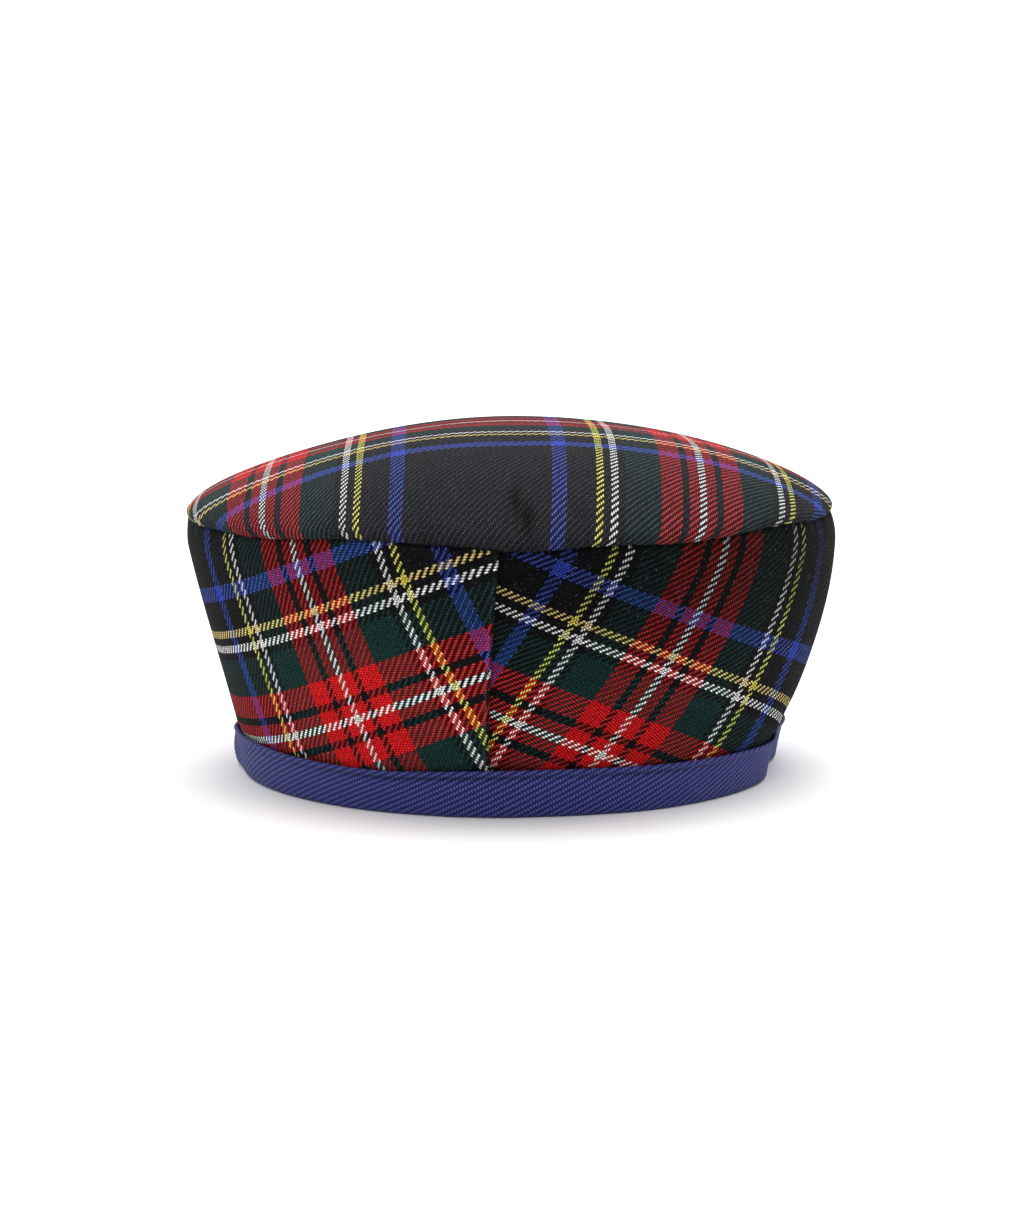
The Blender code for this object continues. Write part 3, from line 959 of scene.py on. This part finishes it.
def make_crown(material):
    """The round top, eased over its dome and turned in along the crown seam."""
    under = SEAM_HEIGHT + CLOTH_GAP / 2
    spring = under + CROWN_TURN_RADIUS
    rise = SEAM_HEIGHT + CROWN_RISE - spring
    out = np.sin(np.linspace(0.0, np.pi / 2, CROWN_DOME_ROWS + 1))
    up = (1.0 - out**CROWN_ROUNDNESS) ** (1.0 / CROWN_FULLNESS)
    turn = np.linspace(0.0, np.pi / 2, CROWN_TURN_ROWS + 1)[1:]
    back = np.linspace(0.0, 1.0, CROWN_ALLOWANCE_ROWS + 1)[1:]
    inner = SEAM_ALLOWANCE - CROWN_TURN_RADIUS
    radius = np.concatenate(
        [
            SEAM_RADIUS * out,
            SEAM_RADIUS - CROWN_TURN_RADIUS * (1.0 - np.cos(turn)),
            SEAM_RADIUS - CROWN_TURN_RADIUS - inner * back,
        ]
    )
    height = np.concatenate(
        [spring + rise * up, spring - CROWN_TURN_RADIUS * np.sin(turn), under + 0.0 * back]
    )
    azimuth = np.arange(CROWN_COLUMNS) * 360.0 / CROWN_COLUMNS
    roll = RIM_ROLL * np.exp(-(((height - SEAM_HEIGHT) / RIM_ROLL_REACH) ** 2))
    outer = sewn(radius[:, None], azimuth[None, :], height[:, None], roll[:, None])
    near_edge = np.exp(-(((height - SEAM_HEIGHT) / STITCH_REACH) ** 2))[:, None]
    for waves, depth in STITCH_WAVES:
        wave = 1.0 + np.sin(np.radians(azimuth * waves) + waves)
        outer[..., 2] -= depth * near_edge * wave[None, :]
    places, _ = cloth_wall(outer, CROWN_CLOTH, joined=True, pole=True)
    steps = np.linalg.norm(np.diff(outer, axis=0), axis=-1) / MM
    length = np.concatenate([np.zeros((1, CROWN_COLUMNS)), np.cumsum(steps, axis=0)])
    threads = crown_threads(round_section(length, pole=True), azimuth[None, :])
    # Painted shade at the crown's edge by the seam and in the hollows of its puckers.
    painted_shade = -EDGE_PAINTED_SHADE * np.exp(-(((height - SEAM_HEIGHT) / EDGE_REACH) ** 2))[:, None]
    hollow = pucker_at(azimuth[None, :], height[:, None]) / MM * HOLLOW_PAINTED_SHADE
    tone = round_section(np.maximum(painted_shade - np.maximum(hollow, 0.0), -1.0), pole=True)
    return cloth_piece(
        "crown_cloth", places, threads, tone, material, "crown_top", joined=True, pole=True
    )


# Room that a panel leaves for its rounded edges at the crown seam and at the hem.
PANEL_EDGE_ROOM = SIDE_CLOTH * 0.12
# The folded end of a panel is swollen, full over a share of the fold's width, and flat where the
# hem and the crown seam hold it. Its edge has wear with a painted highlight, and the cloth's raw
# ends have painted shade.
FOLD_WIDTH = 0.0075
FOLD_FULL_SHARE = 0.35
FOLD_SWELL = 0.00055
FOLD_FADE_AT_HEM = 0.004
FOLD_FADE_AT_SEAM = 0.007
FOLD_WEAR_AND_HIGHLIGHT = 0.5
FOLD_WEAR_REACH = 0.0005
FOLD_SHADE = 0.5


def make_panel(name, node, over_seam_deg, cut, material):
    """Half of the side wall. The end that laps over its neighbour is folded under."""
    foot = BAND_CLOTH + CLOTH_GAP + PANEL_EDGE_ROOM
    step = BAND_HEIGHT + CLOTH_GAP + HEM_STEP_HEIGHT
    top = SEAM_HEIGHT - CLOTH_GAP - PANEL_EDGE_ROOM
    height = np.concatenate(
        [np.linspace(top, step, PANEL_WALL_ROWS), np.linspace(step, foot, PANEL_HEM_ROWS + 1)[1:]]
    )[:, None]
    first = over_seam_deg - 180.0 - LAP_DEG
    count = round((180.0 + LAP_DEG) / PANEL_STEP_DEG)
    azimuth = np.linspace(first, over_seam_deg, count + 1)[None, :]
    lap = lap_share(azimuth, over_seam_deg) - lap_share(azimuth, over_seam_deg - 180.0)
    from_edge = np.radians(over_seam_deg - azimuth) * SEAM_RADIUS
    fold = FOLD_SWELL * (1.0 - smooth_step(from_edge / FOLD_WIDTH - FOLD_FULL_SHARE))
    fold = fold * smooth_step((height - BAND_HEIGHT) / FOLD_FADE_AT_HEM)
    fold = fold * smooth_step((top - height) / FOLD_FADE_AT_SEAM)
    place = leaned(azimuth, height)
    outer = sewn(side_radius(height), place, height, lap * LAP_OFFSET + fold)
    places, skin = cloth_wall(outer, SIDE_CLOTH + fold)
    threads = panel_threads(skin, cut, np.degrees(np.arctan2(skin[..., 0], -skin[..., 1])))
    # Wear with a painted highlight on the fold's edge; painted shade by the crown seam, on the
    # wall's upper half and on the raw ends.
    wear_and_highlight = FOLD_WEAR_AND_HIGHLIGHT * np.exp(-((from_edge / FOLD_WEAR_REACH) ** 2))
    painted_shade = SEAM_PAINTED_SHADE * np.exp(-(((SEAM_HEIGHT - height) / DITCH_REACH) ** 2))
    shade = smooth_step((height - WALL_SHADE_FROM) / WALL_SHADE_RISE)
    shade = shade * (WALL_SHADE + WALL_SHADE_TURN * np.sin(np.radians(azimuth)))
    tone = np.pad(
        round_section(wear_and_highlight - painted_shade - shade),
        ((0, 0), (END_COLUMNS, END_COLUMNS)),
        constant_values=-FOLD_SHADE,
    )
    return cloth_piece(name, places, threads, tone, material, node)


# The twill strip's thread spacing, and its folded foot with the points along its section.
BAND_WARP_MM = 0.92
BAND_WEFT_MM = 0.44
BAND_FOLD_RADIUS = 0.0017
BAND_LEG_POINTS = 25
BAND_TURN_POINTS = 8
BAND_FOOT_POINTS = 4
# The strip's rolled upper edge: its height, and its swell round a place in that height.
ROLL_HEIGHT = 0.0017
ROLL_SWELL = 0.00055
ROLL_MIDDLE = 0.45
ROLL_REACH = 0.5
# The crease under the roll, so many of its heights down, how deep it is and the painted shade in
# it, and its depth round the hat: azimuth and share.
CREASE_DROP = 1.2
CREASE_DEPTH = 0.00075
CREASE_WIDTH = 0.00055
CREASE_PAINTED_SHADE = 0.6
CREASE_ROWS = (
    (-180, 0.25),
    (-60, 0.15),
    (-35, 0.55),
    (-22, 1.0),
    (-2, 0.9),
    (10, 0.5),
    (25, 0.8),
    (38, 0.5),
    (60, 0.1),
    (180, 0.25),
)


def make_headband(material):
    """The twill strip folded over the lower edge, its ends meeting at the back seam."""
    depth = 2 * BAND_CLOTH + SIDE_CLOTH + 2 * CLOTH_GAP
    fold = BAND_FOLD_RADIUS
    leg = np.linspace(BAND_HEIGHT - BAND_CLOTH / 2, fold, BAND_LEG_POINTS)
    turn = np.radians(np.linspace(0.0, 90.0, BAND_TURN_POINTS))[1:]
    foot = np.linspace(0.0, 1.0, BAND_FOOT_POINTS)[1:]
    back = leg[::-2][1:]
    inset = np.concatenate(
        [
            0.0 * leg,
            fold * (1.0 - np.cos(turn)),
            fold + (depth - 2 * fold) * foot,
            depth - fold * (1.0 - np.sin(turn)),
            depth + 0.0 * back,
        ]
    )
    height = np.concatenate(
        [leg, fold * (1.0 - np.sin(turn)), 0.0 * foot, fold * (1.0 - np.cos(turn)), back]
    )
    lengths = np.concatenate([[0.0], np.cumsum(np.hypot(np.diff(inset), np.diff(height)))])
    inset, height = inset[:, None], height[:, None]
    count = round(360.0 / BAND_STEP_DEG)
    join_gap_deg = math.degrees(BAND_CLOTH / BAND_FOOT_RADIUS)
    azimuth = np.linspace(
        BACK_SEAM_DEG - 360.0 + join_gap_deg / 2, BACK_SEAM_DEG - join_gap_deg / 2, count + 1
    )
    side = np.clip(1.0 - 2.0 * inset / depth, -1.0, 1.0)
    lap = lap_share(azimuth, FRONT_SEAM_DEG) + lap_share(azimuth, BACK_SEAM_DEG)
    below_top = (BAND_HEIGHT - height) / ROLL_HEIGHT
    roll = ROLL_SWELL * np.exp(-(((below_top - ROLL_MIDDLE) / ROLL_REACH) ** 2))
    crease_height = BAND_HEIGHT - ROLL_HEIGHT * CREASE_DROP
    crease = np.exp(-(((crease_height - height) / CREASE_WIDTH) ** 2))
    crease = crease * np.interp(azimuth, *zip(*CREASE_ROWS)) * (side > 0.0)
    extra = side * lap * LAP_OFFSET + roll * (side > 0.0) - CREASE_DEPTH * crease
    outer = sewn(band_radius(height) - inset, azimuth, height, extra)
    places, _ = cloth_wall(outer, BAND_CLOTH)
    ends = (END_COLUMNS, END_COLUMNS)
    # Painted shade in the crease.
    tone = np.pad(round_section(-CREASE_PAINTED_SHADE * crease), ((0, 0), ends), mode="edge")
    edge = np.pi * BAND_CLOTH / 2.0
    over_edge = edge * np.arange(1, EDGE_STEPS) / EDGE_STEPS
    inside = 2.0 * lengths[-1] + edge - lengths[::-1]
    down = np.concatenate([lengths, lengths[-1] + over_edge, inside, -over_edge[::-1]]) / MM
    warp = np.radians(np.pad(azimuth, ends, mode="edge")) * BAND_TOP_RADIUS / MM / BAND_WARP_MM
    threads = np.stack(
        np.broadcast_arrays(warp[None, :], (down / BAND_WEFT_MM)[:, None]), axis=-1
    )
    return cloth_piece("headband_strip", places, threads, tone, material, "headband")


# ---------------------------------------------------------------------------
# The setting.
# ---------------------------------------------------------------------------
CAMERA_DISTANCE = 0.900
CAMERA_HEIGHT_DEG = 8.33
CAMERA_LENS_MM = 76.97
CAMERA_SENSOR_MM = 36.0
LOOK_AT = Vector((0.0, 0.0, 0.050))
FLOOR_SIZE = 12.0
COVE_LEVEL = 0.98
COVE_SLOPE = (-0.14, 0.12, 0.0)
BANK_AIM = (-0.05, -0.24, -1.0)
BANK_POWER = 2.9
BANK_SPREAD_DEG = 50.0


def make_setting():
    """A pale floor in a white cove, a wide bank of light above and behind, and the camera."""
    bpy.ops.mesh.primitive_plane_add(size=FLOOR_SIZE)
    floor = bpy.context.object
    floor.name = "floor"
    floor.data.materials.append(floor_paper())
    scene = bpy.context.scene
    scene.world = bpy.data.worlds.new("white_cove")
    scene.world.use_nodes = True
    tree = scene.world.node_tree
    sky = tree.nodes["Background"]
    sky.inputs["Color"].default_value = (1.0, 1.0, 1.0, 1.0)
    # The cove is brighter behind the hat and at the left than in front and at the right.
    way = add(tree, "ShaderNodeTexCoord")
    slope = add(
        tree, "ShaderNodeVectorMath", {0: way.outputs[0], 1: COVE_SLOPE}, operation="DOT_PRODUCT"
    )
    level = add(tree, "ShaderNodeMath", {0: slope.outputs[1], 1: COVE_LEVEL}, operation="ADD")
    tree.links.new(level.outputs[0], sky.inputs["Strength"])
    light = bpy.data.lights.new("top_bank", "SUN")
    light.angle = math.radians(BANK_SPREAD_DEG)
    light.energy = BANK_POWER
    bank = bpy.data.objects.new("top_bank", light)
    camera_data = bpy.data.cameras.new("camera")
    camera_data.lens = CAMERA_LENS_MM
    camera_data.sensor_width = CAMERA_SENSOR_MM
    camera = bpy.data.objects.new("camera", camera_data)
    rise = math.radians(CAMERA_HEIGHT_DEG)
    back = Vector((0.0, -math.cos(rise), math.sin(rise)))
    camera.location = LOOK_AT + back * CAMERA_DISTANCE
    for item, aim in ((bank, Vector(BANK_AIM)), (camera, -back)):
        item.rotation_mode = "QUATERNION"
        item.rotation_quaternion = aim.to_track_quat("-Z", "Y")
        scene.collection.objects.link(item)
    scene.camera = camera
    scene.view_settings.view_transform = "Standard"


# One tartan in three copies, painted lit and shaded: the crown has more painted sheen, as it
# faces the light, and the right panel has less sheen and narrower crests, as it is in more shade.
crown_lit_tartan = tartan_cloth(
    "worsted_tartan_crown_painted_light",
    "tartan_crown_cloth",
    painted_sheen_share=0.135,
    shared_hue=0.5,
    warp_crest=1.7,
    weft_crest=1.1,
)
left_lit_tartan = tartan_cloth(
    "worsted_tartan_left_painted_light",
    "tartan_side_cloth",
    painted_sheen_share=0.012,
    shared_hue=0.62,
    warp_crest=1.9,
    weft_crest=1.1,
)
right_shaded_tartan = tartan_cloth(
    "worsted_tartan_right_painted_shade",
    "tartan_side_cloth",
    painted_sheen_share=0.006,
    shared_hue=0.64,
    warp_crest=2.6,
    weft_crest=1.9,
)
band_twill = headband_twill("blue_twill")
make_crown(crown_lit_tartan)
make_panel("left_panel_cloth", "side_panel_left", FRONT_SEAM_DEG, LEFT_CUT, left_lit_tartan)
make_panel("right_panel_cloth", "side_panel_right", BACK_SEAM_DEG, RIGHT_CUT, right_shaded_tartan)
make_headband(band_twill)
make_setting()
